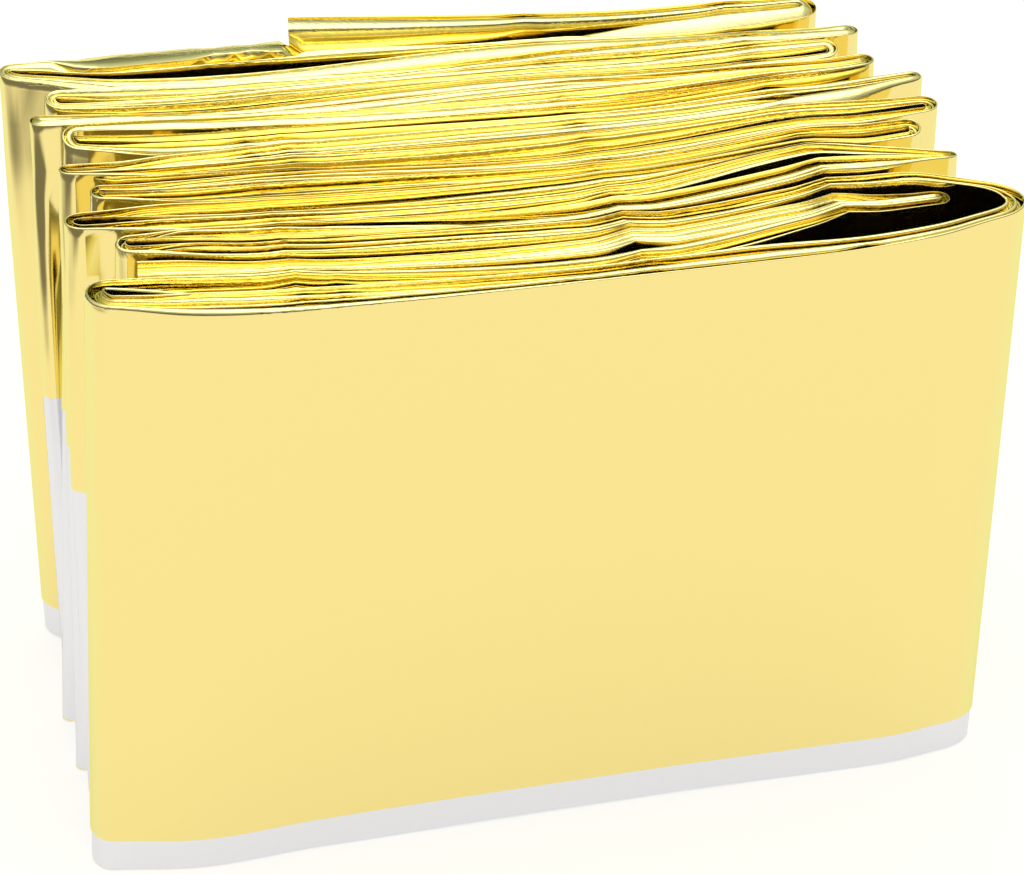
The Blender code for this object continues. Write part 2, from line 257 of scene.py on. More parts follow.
@dataclass(frozen=True)
class Waves:
    """Uneven waves along a line: a sum of sines, given by wavelengths and heights.

    Each sine has its own phase and a wavelength within 20% of the one given.
    """

    lengths: tuple[float, ...]
    sizes: tuple[float, ...]
    seed: int

    def at(self, along: np.ndarray, count: int = 1) -> np.ndarray:
        """Waves for several neighbours.

        Args:
            along: places along the line.
            count: how many waves to make.

        Returns:
            An array of len(along) rows and count columns.
        """
        rng = np.random.default_rng(self.seed)
        total = np.zeros((len(along), count))
        for length, size in zip(self.lengths, self.sizes):
            phase = rng.uniform(0.0, 2.0 * math.pi, count)
            own = length * rng.uniform(0.8, 1.2, count)
            total += size * np.sin(2.0 * math.pi * along[:, None] / own + phase)
        return total


def moving(values: np.ndarray, reach: int, what: Callable) -> np.ndarray:
    """The least value or the mean over a window of columns to either side.

    Args:
        values: array whose last axis runs along the strip.
        reach: columns to either side.
        what: numpy's function for it.

    Returns:
        An array of the same shape.
    """
    pad = [(0, 0)] * (values.ndim - 1) + [(reach, reach)]
    padded = np.pad(values, pad, mode="edge")
    windows = np.lib.stride_tricks.sliding_window_view(padded, 2 * reach + 1, axis=-1)
    return what(windows, axis=-1)


@dataclass
class Fold:
    """A bend of the strip in plan, from the end of one panel to the end of the next."""

    ends: list[np.ndarray]
    ways: list[np.ndarray]  # unit directions in which the two panels run out at the ends
    reach: float  # how far it stands out past its ends
    half: float  # its half thickness

    def points(self, t: np.ndarray) -> np.ndarray:
        """Points of the cubic Hermite curve from one end to the other.

        Args:
            t: 0 at the first end, to 1 at the other.

        Returns:
            A plan point for each value.
        """
        t = t[:, None]
        pull = 4.0 * self.reach
        return (
            (2.0 * t**3 - 3.0 * t**2 + 1.0) * self.ends[0]
            + (t**3 - 2.0 * t**2 + t) * pull * self.ways[0]
            + (3.0 * t**2 - 2.0 * t**3) * self.ends[1]
            - (t**3 - t**2) * pull * self.ways[1]
        )


@dataclass
class Route:
    """The strip's middle line in plan, at its top edge and at its foot, with its room to each side.

    Each panel is sampled along X. A fold is the cubic that leaves one panel and meets the next in
    their own directions. Half thicknesses come from the way to the neighbouring panels. The axes
    of the halves are the left and right side, the top edge and the foot, and the column.
    """

    reach: float = 66.0  # how far along X the panels' lines are drawn for measuring
    line_step: float = 0.5
    step: float = 1.4  # way between two columns of the sheet
    fold_steps: int = 11  # columns round a fold
    gap: float = 0.14  # least room between neighbouring panels
    gap_wave: float = 0.4  # how much wider it gets in places
    gap_length: float = 15.0  # way along X for a radian of that wave
    gap_phase: float = 2.1  # its phase from one gap to the next
    gap_calm: float = 0.7  # share of the wave that is missing in the rear half
    free_way: float = 20.0  # way to the next panel where there is none
    room_by_tail: tuple[float, float] = (1.5, 0.5)  # share for the panel before it, and its own
    half_mid: float = 1.75  # usual half thickness in a panel
    half_fold: float = 0.95  # usual half thickness in a fold
    half_least: float = 0.28  # least half thickness anywhere
    swell_run: float = 9.0  # way from a fold over which a panel reaches its thickness
    loose_left: Ramp = Ramp(12.0, -30.0)  # where a panel's side takes its own thickness
    loose_right: Ramp = Ramp(24.0, 14.0)
    fold_start: float = 3.0  # first guess of a fold's reach and half thickness
    fold_rounds: int = 4  # rounds that correct it
    fluff_swell: float = 0.5  # how much thicker a fluffy fold is
    fold_fill: float = 0.72  # most share of a fold's radius that is filled on its inner side
    bend_fill: float = 0.82  # the same for any bend
    bend_run: int = 2  # columns to either side over which a bend's limit holds and is softened
    crest_run: int = 3  # the same for softening the crest
    fluff_run: int = 6  # and the looseness
    crease_power: float = 1.4  # sharpness of the creases' tents
    crease_onset: float = 4.0  # how soon they come in, by their own depth
    foot_spread: float = 5.4  # how far the left side spreads at the foot
    spread_from: float = -8.0
    foot_fit: float = 15.0  # way from a fold over which its own spread is taken up
    lean_right: float = 0.30  # share of the lean that is left at the right end
    inner_end: float = -46.0  # X of the strip's tucked-in end
    tail_end: float = -18.8  # X of the tail's cut end
    past_end: float = 1.5  # room past a cut end that it still takes
    top_wave: float = 0.28  # height of the slow waves along the top edge
    wave_length: float = 11.0  # way along X for a radian of them
    wave_phase: float = 1.7  # their phase from one panel to the next
    right_rise: float = 0.9  # how much higher the right side's top edge is
    rise: Ramp = Ramp(18.0, 24.0)

    def __post_init__(self) -> None:
        """Work out the middle lines, the halves and the crest."""
        self.line_x = np.arange(-self.reach, self.reach + self.line_step, self.line_step)
        self.lines = [
            [self.plan_points(index, self.line_x, foot) for index in range(len(PANELS))]
            for foot in (0, 1)
        ]
        self.folds = [
            [self.fold(place, foot) for foot in (0, 1)] for place in range(len(RUN) - 1)
        ]
        run = self.joined([self.block(place) for place in range(len(RUN))])
        self.top, self.foot, self.halves = run["top"], run["foot"], run["halves"]
        self.panel = run["panel"]
        self.fluff = moving(run["fluff"], self.fluff_run, np.mean)
        self.crest = moving(run["crest"], self.crest_run, np.mean)
        steps = np.linalg.norm(np.diff(self.top, axis=0), axis=1)
        self.along = np.concatenate([[0.0], np.cumsum(steps)])
        self.limit_bends()

    @staticmethod
    def joined(blocks: list[dict]) -> dict:
        """Blocks of columns end to end: along the last axis of the halves, and the first else."""
        return {
            key: np.concatenate([b[key] for b in blocks], axis=-1 if key == "halves" else 0)
            for key in blocks[0]
        }

    def foot_x(self, x: np.ndarray) -> np.ndarray:
        """X at the foot under a place at the top edge: the left side spreads with the square."""
        share = np.clip((self.spread_from - x) / (self.spread_from - STATIONS[0]), 0.0, 1.0)
        return x - self.foot_spread * share**2

    def crease_push(self, x: np.ndarray, y: np.ndarray) -> np.ndarray:
        """Tent-shaped push backwards at the shared creases, fading to the back as a bell.

        Args:
            x: places along X.
            y: places along Y.

        Returns:
            The push at each place.
        """
        total = np.zeros_like(y)
        for crease in CREASES:
            tent = np.clip(1.0 - np.abs(x - crease.at_x) / crease.reach, 0.0, 1.0)
            depth = (y - crease.from_y) / crease.fade_y
            onset = np.clip(depth * self.crease_onset, 0.0, 1.0)
            bell = np.exp(-np.clip(depth, 0.0, None) ** 2)
            total += crease.push * tent**self.crease_power * onset * bell
        return total

    def panel_line(self, panel: Panel, x: np.ndarray, foot: int) -> np.ndarray:
        """Y of a panel's middle line.

        Args:
            panel: the panel.
            x: places along X.
            foot: 0 for the top edge, 1 for the foot.

        Returns:
            Y at each place: the curve through the stations, pushed by the creases, less the lean.
        """
        if foot:
            x = np.interp(x, self.foot_x(self.line_x), self.line_x)
        y = monotone_curve(STATIONS, panel.line, x)
        y = y + self.crease_push(x, y)
        lean = np.interp(y, [row.top_y for row in LEANS], [row.set_back for row in LEANS])
        across = np.clip((x - STATIONS[0]) / (STATIONS[-1] - STATIONS[0]), 0.0, 1.0)
        if foot and panel.name == "front":
            y = y + monotone_curve(STATIONS, FRONT_FOOT, np.clip(x, STATIONS[0], STATIONS[-1]))
        return y - foot * lean * (1.0 + (self.lean_right - 1.0) * across)

    def plan_points(self, index: int, x: np.ndarray, foot: int) -> np.ndarray:
        """Plan points of a panel's middle line at places along X."""
        return np.stack([x, self.panel_line(PANELS[index], x, foot)], axis=1)

    def most_half(self, name: str, step: int, x: np.ndarray) -> np.ndarray:
        """Half thickness that a panel's side may reach, blended in towards the panel's two ends.

        Args:
            name: the panel's name.
            step: 1 for its side towards the back, -1 for the one towards the front.
            x: places along X.

        Returns:
            The half thickness at each place.
        """
        most = np.full(len(x), self.half_mid)
        for row in LOOSE:
            if (row.panel, row.step) == (name, step):
                most += (row.left - self.half_mid) * self.loose_left.at(x)
                most += (row.right - self.half_mid) * self.loose_right.at(x)
        return most

    def way_to(self, other: int, points: np.ndarray, foot: int) -> np.ndarray:
        """Shortest way from plan points to a panel's middle line.

        Args:
            other: the panel's place in the pack.
            points: the plan points.
            foot: 0 for the top edge, 1 for the foot.

        Returns:
            The way from each point.
        """
        if not 0 <= other < len(PANELS):
            return np.full(len(points), self.free_way)
        apart = points[:, None, :] - self.lines[foot][other][None, :, :]
        return np.hypot(*apart.transpose(2, 0, 1)).min(axis=1)

    def room_beside(self, index: int, points: np.ndarray, foot: int, step: int) -> np.ndarray:
        """Half of the way from points of a panel to its neighbour's line, less half the gap.

        The gap is wider by a sine along X. Past a cut end of the strip, what lies beyond it counts.

        Args:
            index: the panel's place in the pack.
            points: plan points on it.
            foot: 0 for the top edge, 1 for the foot.
            step: 1 for the neighbour behind, -1 for the one in front.

        Returns:
            The room at each point.
        """
        x = points[:, 0]
        other = index + step
        neighbour = PANELS[other].name if 0 <= other < len(PANELS) else ""
        room = self.way_to(other, points, foot)
        if neighbour == "tail":
            room = np.where(x < self.tail_end - self.past_end, self.free_way, room)
        if "tail" in (PANELS[index].name, neighbour):
            room = room * self.room_by_tail[0 if step > 0 else 1]
        if neighbour == "inner_b":
            beyond = self.way_to(other + step, points, foot)
            room = np.where(x < self.inner_end - self.past_end, beyond, room)
        wave = 0.5 + 0.5 * np.sin(x / self.gap_length + self.gap_phase * min(index, other))
        uneven = wave * (1.0 - self.gap_calm * (index > INDEX["h"]))
        return room / 2.0 - self.gap / 2.0 - self.gap_wave / 2.0 * uneven

    def fold(self, place: int, foot: int) -> Fold:
        """The bend after a panel of the run, whose outer edge touches the fold's place along X.

        Args:
            place: the panel's place in the run.
            foot: 0 for the top edge, 1 for the foot.

        Returns:
            The fold.
        """
        turn = RUN[place]
        index, after = (INDEX[row.panel] for row in RUN[place:place + 2])
        tip = turn.tip_bottom if foot else turn.tip_top
        side = math.copysign(1.0, tip)
        swell = 1.0 + self.fluff_swell * max(turn.fluff - FLUFF, 0.0)
        x = tip - side * self.fold_start
        for _ in range(self.fold_rounds):
            ends = [self.plan_points(i, np.array([x]), foot)[0] for i in (index, after)]
            radius = float(np.linalg.norm(ends[1] - ends[0])) / 2.0
            room = float(self.room_beside(index, ends[0][None, :], foot, after - index)[0])
            most = min(self.half_fold * swell, room, self.fold_fill * radius / turn.pointed)
            half = max(self.half_least, most)
            x = tip - side * (half + radius * turn.pointed)
        ways = []
        for i in (index, after):
            ahead = self.panel_line(PANELS[i], np.array([x, x + side]), foot)
            way = np.array([side, ahead[1] - ahead[0]])
            ways.append(way / np.linalg.norm(way))
        return Fold(ends, ways, radius * turn.pointed, half)

    def crest_height(self, index: int, x: np.ndarray) -> np.ndarray:
        """Height of a panel's top edge: sunk by its own amount, with a slow sine along it.

        Args:
            index: the panel's place in the pack.
            x: places along X.

        Returns:
            The height at each place.
        """
        if PANELS[index].name == "front":
            return np.full(len(x), HEIGHT)
        wave = self.top_wave * (1.0 + np.sin(x / self.wave_length + self.wave_phase * index))
        return HEIGHT - PANELS[index].sunk - wave + self.right_rise * self.rise.at(x)

    def columns(self, tops: tuple, feet: tuple) -> tuple[np.ndarray, np.ndarray]:
        """Places of a panel's columns at the top edge and at the foot, creases among them.

        Args:
            tops: X of the panel's two ends at the top edge, in the order of the run.
            feet: the same at the foot.

        Returns:
            X at the top edge and X at the foot.
        """
        count = int(abs(tops[1] - tops[0]) / self.step)
        x = np.linspace(tops[0], tops[1], count + 1)
        for crease in CREASES:
            nearest = int(np.argmin(np.abs(x - crease.at_x)))
            if 0 < nearest < count:
                x[nearest] = crease.at_x
        foot_x = self.foot_x(x)
        for top, foot in zip(tops, feet):
            miss = foot - float(self.foot_x(np.array([top]))[0])
            foot_x = foot_x + miss * (1.0 - smooth_step(np.abs(x - top) / self.foot_fit))
        return x, foot_x

    def cut_end(self, x: float, foot: int) -> tuple[float, float]:
        """X and half thickness at a cut end of the strip."""
        return (float(self.foot_x(np.array([x]))[0]) if foot else x), self.half_mid

    def block(self, place: int) -> dict:
        """Columns of one panel of the run and of the fold after it.

        Args:
            place: the panel's place in the run.

        Returns:
            Arrays of the plan points, half thicknesses, crest height, panel and looseness.
        """
        index = INDEX[RUN[place].panel]
        before = self.folds[place - 1] if place else None
        after = self.folds[place] if place < len(self.folds) else None
        ends = []
        for foot in (0, 1):
            first, last = self.cut_end(self.inner_end, foot), self.cut_end(self.tail_end, foot)
            if before:
                first = (before[foot].ends[1][0], before[foot].half)
            if after:
                last = (after[foot].ends[0][0], after[foot].half)
            ends.append((first, last))
        xs = self.columns(*[(first[0], last[0]) for first, last in ends])
        points = [self.plan_points(index, x, foot) for foot, x in enumerate(xs)]
        # A panel that runs to the right has the back of the pack on its left
        steps = (1, -1) if place % 2 == 0 else (-1, 1)
        halves = np.zeros((2, 2, len(xs[0])))
        for foot in (0, 1):
            for side, step in enumerate(steps):
                most = self.most_half(PANELS[index].name, step, xs[0])
                limit = np.minimum(*[
                    half + (most - half) * smooth_step(np.abs(xs[foot] - end) / self.swell_run)
                    for end, half in ends[foot]
                ])
                room = self.room_beside(index, points[foot], foot, step)
                halves[side, foot] = np.maximum(self.half_least, np.minimum(limit, room))
        crest = self.crest_height(index, xs[0])
        block = {
            "top": points[0], "foot": points[1], "halves": halves, "crest": crest,
            "panel": np.full(len(crest), index), "fluff": np.zeros(len(crest)),
        }
        if after is None:
            return block
        t = np.arange(1, self.fold_steps + 1) / (self.fold_steps + 1)
        last = self.crest_height(INDEX[RUN[place + 1].panel], after[0].ends[1][:1])[0]
        own = np.array([fold.half for fold in after])
        bend = {
            "top": after[0].points(t), "foot": after[1].points(t),
            "halves": np.ones((2, 2, len(t))) * own[None, :, None],
            "crest": crest[-1] + (last - crest[-1]) * t,
            "panel": np.full(len(t), index), "fluff": np.full(len(t), RUN[place].fluff),
        }
        return self.joined([block, bend])

    def limit_bends(self) -> None:
        """Keep the wall on the inner side of a bend within a share of the radius there.

        The radius at a point is that of the circle through it and its two neighbours: the product
        of the triangle's sides over four times its area.
        """
        for foot, line in enumerate((self.top, self.foot)):
            first = line[1:-1] - line[:-2]
            second = line[2:] - line[1:-1]
            across = line[2:] - line[:-2]
            turn = first[:, 0] * second[:, 1] - first[:, 1] * second[:, 0]
            lengths = [np.linalg.norm(way, axis=1) for way in (first, second, across)]
            radius = np.prod(lengths, axis=0) / np.maximum(2.0 * np.abs(turn), TINY)
            radius, turn = (np.pad(row, 1, mode="edge") for row in (radius, turn))
            for side, sign in enumerate((1.0, -1.0)):
                limit = np.where(turn * sign > 0.0, self.bend_fill * radius, math.inf)
                limit = moving(limit, self.bend_run, np.min)
                self.halves[side, foot] = np.minimum(self.halves[side, foot], limit)
        self.halves = moving(moving(self.halves, 1, np.min), self.bend_run, np.mean)

    @staticmethod
    def side_ways(line: np.ndarray) -> np.ndarray:
        """Unit directions to the left of a plan line.

        Args:
            line: points of the line, in order.

        Returns:
            A direction for each point.
        """
        along = np.gradient(line, axis=0)
        along /= np.linalg.norm(along, axis=1)[:, None]
        return np.stack([-along[:, 1], along[:, 0]], axis=1)


class Place(Enum):
    """What a row of the folded sheet lies on."""

    ARC = "round top of a fold"
    BULB = "just under the round top"
    PACKED = "where the plies lie evenly"
    FOOT = "just above a lower fold"
    TURN = "lowest line of a lower fold"
    MIDDLE = "on an outer ply, between top and foot"
    EDGE = "cut edge of the sheet"


@dataclass(frozen=True)
class Row:
    """A line of the sheet along the strip: the upper fold that it belongs to, its side and place.

    The value is the cosine round an arc, and the height on an outer ply.
    """

    lobe: int
    side: float
    place: Place
    value: float = 0.0


@dataclass
class Crests:
    """The upper folds near the strip's top: a row for each column, with an entry for each fold."""

    centre: np.ndarray  # middle of the fold, as a share of the strip's width
    half: np.ndarray  # half its width, as a share
    tip: np.ndarray  # height of its top
    round_top: np.ndarray  # height of its round part
    tilt: np.ndarray  # how much higher than its middle its left side stands


@dataclass
class FoldedSheet:
    """The film as it is folded across: nine upper folds side by side, and eight lower ones.

    At the crest a few folds are wide and stand high, and squeeze the others to thin low ones. Lower
    down all plies are evenly spaced. The widths shift slowly along the strip.
    """

    route: Route
    lobes: int = 9
    film: float = 0.024  # thickness of the modelled film
    arc_steps: int = 7
    arc_end: float = 0.35  # how much the ends of a round top count as a fold's edge
    levels: tuple[float, ...] = (26.0, 46.0, 60.0, 69.0)  # heights of the rows on the outer plies
    edge_front: float = 4.8  # height of the cut edge on the strip's first face
    edge_back: float = 43.4  # and on its other face
    edge_wave: float = 0.15  # unevenness of the first
    back_wave: float = 0.25  # and of the other
    edge_turn: float = 45.0  # way over which the other comes down before the last fold

    # Widths of the folds, whose waves are sharper towards the strip's outer end
    width_waves: Waves = Waves((900.0, 410.0), (1.0, 0.45), 11)
    sharpness: float = 3.2  # how unlike the widths are
    sharp_first: float = 0.7  # share of it at the strip's inner end
    sharp_more: float = 0.6  # and how much is added to the outer end
    sharp_fluff: float = 0.6  # share that is lost where the strip is fluffy
    least_share: float = 0.018
    apart: float = 0.14  # share of its slot that a fold leaves free
    apart_calm: float = 0.6  # share of that which is missing in the rear half
    least_outer: tuple[float, float] = (0.3, 0.1)  # least wave of the first and the last fold
    tail_grow: float = 2.4  # gain of the last fold's wave near the tail's cut end
    tail_part: Ramp = Ramp(-110.0, 40.0)  # where that is, from the cut end
    slope_grow: float = 1.6  # its gain on the slope
    ledge_grow: float = 1.3  # and on the ledge
    near_grow: float = 0.5  # gain of an outer fold's wave beside the strip's folds
    pinch_waves: Waves = Waves((37.0,), (1.0,), 23)
    pinch_reach: float = 3.2
    pinch_part: float = 0.5  # most share of the width that a crease takes

    # Heights of the folds
    calm: Ramp = Ramp(36.0, 16.0)  # along Y: the rear half lies more evenly
    tremble: Waves = Waves((9.0, 5.2), (0.02, 0.012), 31)
    lift_waves: Waves = Waves((480.0, 170.0), (0.6, 0.4), 41)
    lift: float = 0.65  # how far the folds are sunk unevenly
    lift_calm: float = 0.7
    lift_left: float = 0.8  # how much more this is at the left
    lift_part: Ramp = Ramp(12.0, -50.0)
    drop: float = 3.4  # how far a squeezed fold sinks
    drop_calm: float = 0.5
    drop_power: int = 4
    sink_outer: float = 0.15  # share of all this for the first and the last fold
    slope_sink: float = 0.45  # what the last fold sinks more on the slope
    ledge_sink: float = 2.8  # and on the ledge

    # Round tops and their tilt, as shares of a fold's half width
    round_share: float = 0.85
    round_calm: float = 0.4
    round_least: float = 0.03  # limits of a round top's height, in millimetres
    round_most: float = 0.95
    slope_flat: float = 0.75  # share of the round top that is missing on the slope
    tilt_waves: Waves = Waves((390.0, 140.0), (0.5, 0.25), 47)
    tilt_calm: float = 0.4  # towards the back, in the rear half
    tilt_front: float = 0.08  # towards the front, everywhere
    tilt_left: float = 0.25  # and more so at the left of the front half
    tilt_part: Ramp = Ramp(20.0, -50.0)
    tilt_near: float = 0.45  # outwards, beside the strip's folds
    slope_tilt: float = 0.24  # backwards, on the slope
    ledge_tilt: float = 0.1  # and on the ledge

    # Rows under the round tops, at the lower folds and at the cut edges
    bulb_depth: float = 1.1  # under the round top
    packed_depth: float = 2.6  # the same where the plies lie evenly,
    packed_least: float = 6.0  # which is at least this far under the crest
    even_part: Ramp = Ramp(1.2, 4.2)  # depth over which the folds' spacing becomes even
    foot_waves: Waves = Waves((71.0, 23.0), (0.6, 0.4), 53)
    foot_least: float = 0.1  # lowest height of a lower fold, and the size of its waves
    foot_rise: float = 0.9  # from there to the rows above it
    edge_waves: Waves = Waves((120.0, 47.0), (0.6, 0.4), 61)
    back_waves: Waves = Waves((160.0, 57.0), (0.6, 0.4), 71)

    # Flutes on the outer plies beside the left folds
    flute: float = 0.65  # how far they bulge
    flute_waves: Waves = Waves((6.4, 3.9), (0.75, 0.4), 83)
    flute_power: float = 1.3  # places the strongest bulge over mid height
    crown_waves: Waves = Waves((4.6, 2.9), (0.6, 0.5), 89)
    crown: float = 0.5  # strength of the waves that take over at the crest
    crown_part: Ramp = Ramp(-9.0, 4.0)
    crown_end: Ramp = Ramp(-2.0, 2.0)
    flute_part: Ramp = Ramp(-38.0, -7.0)

    # Stretches along X: beside the right and left folds, and of the slope and the ledge
    near_right: Ramp = Ramp(30.0, 14.0)
    near_left: Ramp = Ramp(-37.0, -8.0)
    slope_start: Ramp = Ramp(-52.0, 10.0)
    tail_start: Ramp = Ramp(-20.8, 2.8)
    ledge_end: Ramp = Ramp(2.0, 26.0)

    def __post_init__(self) -> None:
        """Lay out the rows, and find where the outer upper folds have a shape of their own.

        On the panel before the tail, the last upper fold slopes backwards where the tail leaves it
        free, and is sunk to a ledge where the tail begins.
        """
        rows = self.rows()
        self.lobe = np.array([row.lobe for row in rows])
        self.side = np.array([row.side for row in rows])
        self.value = np.array([row.value for row in rows])
        self.on = {place: np.array([row.place is place for row in rows]) for place in Place}
        x = self.route.top[:, 0]
        last = self.route.panel == INDEX["q"]
        tail = self.tail_start.at(x)
        self.slope = self.slope_start.at(x) * (1.0 - tail) * last
        self.ledge = tail * (1.0 - self.ledge_end.at(x)) * last
        self.near = (self.near_right.at(x), self.near_left.at(x))

    def rows(self) -> list[Row]:
        """Lay out the rows of the sheet.

        Returns:
            The rows, from one cut edge to the other.
        """
        arc = np.radians(np.linspace(-90.0, 90.0, self.arc_steps))
        last = self.lobes - 1
        rows = [Row(0, -1.0, Place.EDGE)]
        for lobe in range(self.lobes):
            if lobe:
                rows.append(Row(lobe, -1.0, Place.FOOT))
            if lobe == last:
                rows += [Row(lobe, -1.0, Place.MIDDLE, level) for level in self.levels]
            rows += [Row(lobe, -1.0, Place.PACKED), Row(lobe, -1.0, Place.BULB)]
            rows += [Row(lobe, math.sin(a), Place.ARC, math.cos(a)) for a in arc]
            rows += [Row(lobe, 1.0, Place.BULB), Row(lobe, 1.0, Place.PACKED)]
            if lobe == last:
                upper = self.levels[:1:-1]  # those over the cut edge, downwards
                rows += [Row(lobe, 1.0, Place.MIDDLE, level) for level in upper]
            else:
                rows += [Row(lobe, 1.0, Place.FOOT), Row(lobe, 1.0, Place.TURN)]
        return rows + [Row(last, 1.0, Place.EDGE)]

    def shares(self) -> np.ndarray:
        """Share of the strip's width that each fold takes at the crest.

        It is the exponential of a slow wave, divided by the sum over the folds. Where the strip is
        loose the wave counts for less, so the folds grow alike.

        Returns:
            An array with a row for each column of the strip.
        """
        at = self.route.along
        wave = self.width_waves.at(at, self.lobes)
        for fold, least in zip((0, -1), self.least_outer):
            wave[:, fold] = np.maximum(wave[:, fold], least)
        wave[:, -1] += self.tail_grow * self.tail_part.at(at - at[-1])
        wave[:, -1] += (
            self.slope_grow * self.slope + self.ledge_grow * self.ledge
            + self.near_grow * self.near[1]
        )
        wave[:, 0] += self.near_grow * self.near[0]
        sharp = self.sharp_first + self.sharp_more * smooth_step(at / at[-1])
        sharp = self.sharpness * sharp * (1.0 - self.sharp_fluff * self.route.fluff)
        raw = np.exp(sharp[:, None] * wave)
        share = raw / raw.sum(axis=1, keepdims=True)
        return share * (1.0 - self.lobes * self.least_share) + self.least_share

    def pinch(self) -> np.ndarray:
        """How much each fold is squeezed at the cross creases: a narrow tent, uneven by fold.

        Returns:
            An array with a row for each column of the strip, from 0 to 1.
        """
        x = self.route.top[:, 0]
        uneven = 0.5 + 0.5 * self.pinch_waves.at(self.route.along, self.lobes)
        total = np.zeros((len(x), self.lobes))
        for crease in CREASES:
            tent = np.clip(1.0 - np.abs(x - crease.at_x) / self.pinch_reach, 0.0, 1.0)
            total += tent[:, None] * uneven
        return np.clip(total, 0.0, 1.0)

    def crests(self) -> Crests:
        """Widths, heights and tilts of the upper folds.

        A fold sinks with the fourth power of one less its width over the widest one's, and with
        slow waves. Its round top is as high as a share of its half width, and tilts with slow waves
        and with the way that the strip runs.

        Returns:
            Their arrays.
        """
        route = self.route
        along = route.along
        x, y = route.top[:, :1], route.top[:, 1:]
        share = self.shares()
        width = route.halves[:, 0].sum(axis=0)[:, None]
        bounds = np.concatenate([np.zeros((len(share), 1)), np.cumsum(share, axis=1)], axis=1)
        calm = self.calm.at(y)
        free = self.apart * (1.0 - self.apart_calm * calm)
        half = share / 2.0 * (1.0 - free) * (1.0 - self.pinch_part * self.pinch())

        tremble = self.tremble.at(along, self.lobes)
        lift = self.lift * (1.0 - self.lift_calm * calm)
        lift = lift * (1.0 + self.lift_waves.at(along, self.lobes))
        lift = lift * (1.0 + self.lift_left * ((1.0 - calm) * self.lift_part.at(x)))
        narrow = 1.0 - share / share.max(axis=1, keepdims=True)
        sink = self.drop * (1.0 - self.drop_calm * calm) * narrow**self.drop_power + lift + tremble
        sink[:, [0, -1]] *= self.sink_outer
        sink[:, -1] += self.slope_sink * self.slope + self.ledge_sink * self.ledge
        tip = route.crest[:, None] - np.maximum(sink, 0.0)

        round_top = (self.round_share - self.round_calm * calm) * half * width
        round_top = np.clip(round_top, self.round_least, self.round_most)
        round_top[:, -1] *= 1.0 - self.slope_flat * self.slope

        tilt = self.tilt_waves.at(along, self.lobes)
        front = self.tilt_front + self.tilt_left * (1.0 - calm) * self.tilt_part.at(x)
        backwards = route.side_ways(route.top)[:, 1:]
        tilt = (tilt + (self.tilt_calm * calm - front) * backwards) * half * width
        for fold, weight, lean in (
            (0, self.near[0], self.tilt_near), (-1, self.near[1], -self.tilt_near),
            (-1, self.slope, -self.slope_tilt), (-1, self.ledge, -self.ledge_tilt),
        ):
            tilt[:, fold] += weight * (lean * half[:, fold] * width[:, 0] - tilt[:, fold])
        return Crests((bounds[:, 1:] + bounds[:, :-1]) / 2.0, half, tip, round_top, tilt)

    def heights(self, crests: Crests) -> np.ndarray:
        """Height of each row at each column of the strip.

        Args:
            crests: the upper folds.

        Returns:
            An array with a row for each column of the strip.
        """
        route = self.route
        tip, round_top, tilt = (
            values[:, self.lobe] for values in (crests.tip, crests.round_top, crests.tilt)
        )
        foot = 1.0 + self.foot_waves.at(route.along, self.lobes)
        foot = (self.foot_least + self.foot_least * foot)[:, self.lobe]
        under = tip - round_top
        packed_most = route.crest[:, None] - self.packed_least
        by_place = {
            Place.ARC: tip - round_top * (1.0 - self.value) + tilt * self.side,
            Place.BULB: under - self.bulb_depth,
            Place.PACKED: np.minimum(under - self.packed_depth, packed_most),
            Place.FOOT: foot + self.foot_rise,
            Place.TURN: foot,
            Place.MIDDLE: np.broadcast_to(self.value, tip.shape),
        }
        z = np.zeros(tip.shape)
        for place, height in by_place.items():
            z[:, self.on[place]] = height[:, self.on[place]]
        z[:, 0] = self.edge_front + self.edge_wave * self.edge_waves.at(route.along)[:, 0]
        z[:, -1] = self.back_edge()
        return z

    def back_edge(self) -> np.ndarray:
        """Height of the other face's cut edge: half way up, coming down to the last fold.

        Returns:
            The height at each column.
        """
        along = self.route.along
        start = along[self.route.panel == INDEX["o"]].mean()
        near_end = smooth_step((along - start) / self.edge_turn)
        height = self.edge_back + (self.edge_front - self.edge_back) * near_end
        return height + self.back_wave * self.back_waves.at(along)[:, 0]

    def flutes(self, z: np.ndarray, low: np.ndarray) -> np.ndarray:
        """Outward bulges of the outer plies beside the left folds, like upright flutes.

        Each is a wave along the strip cut off below zero. It is strongest somewhat over mid height,
        and another wave takes over in the top few millimetres.

        Args:
            z: heights of the points, with a row for each column of the strip.
            low: 0 at the crest to 1 at the foot.

        Returns:
            The shift of each point.
        """
        route = self.route
        near = self.flute_part.at(route.top[:, 0]) * (route.panel > INDEX["inner_b"])
        body = np.clip(self.flute_waves.at(route.along), 0.0, 1.0)
        crown = np.clip(self.crown_waves.at(route.along), 0.0, 1.0)
        below = z - route.crest[:, None]
        high = self.crown_part.at(below)
        rise = np.sin(math.pi * np.clip(1.0 - low, 0.0, 1.0) ** self.flute_power)
        top = self.crown * (1.0 - self.crown_end.at(below))
        return self.flute * near[:, None] * (body * rise * (1.0 - high) + crown * top * high)

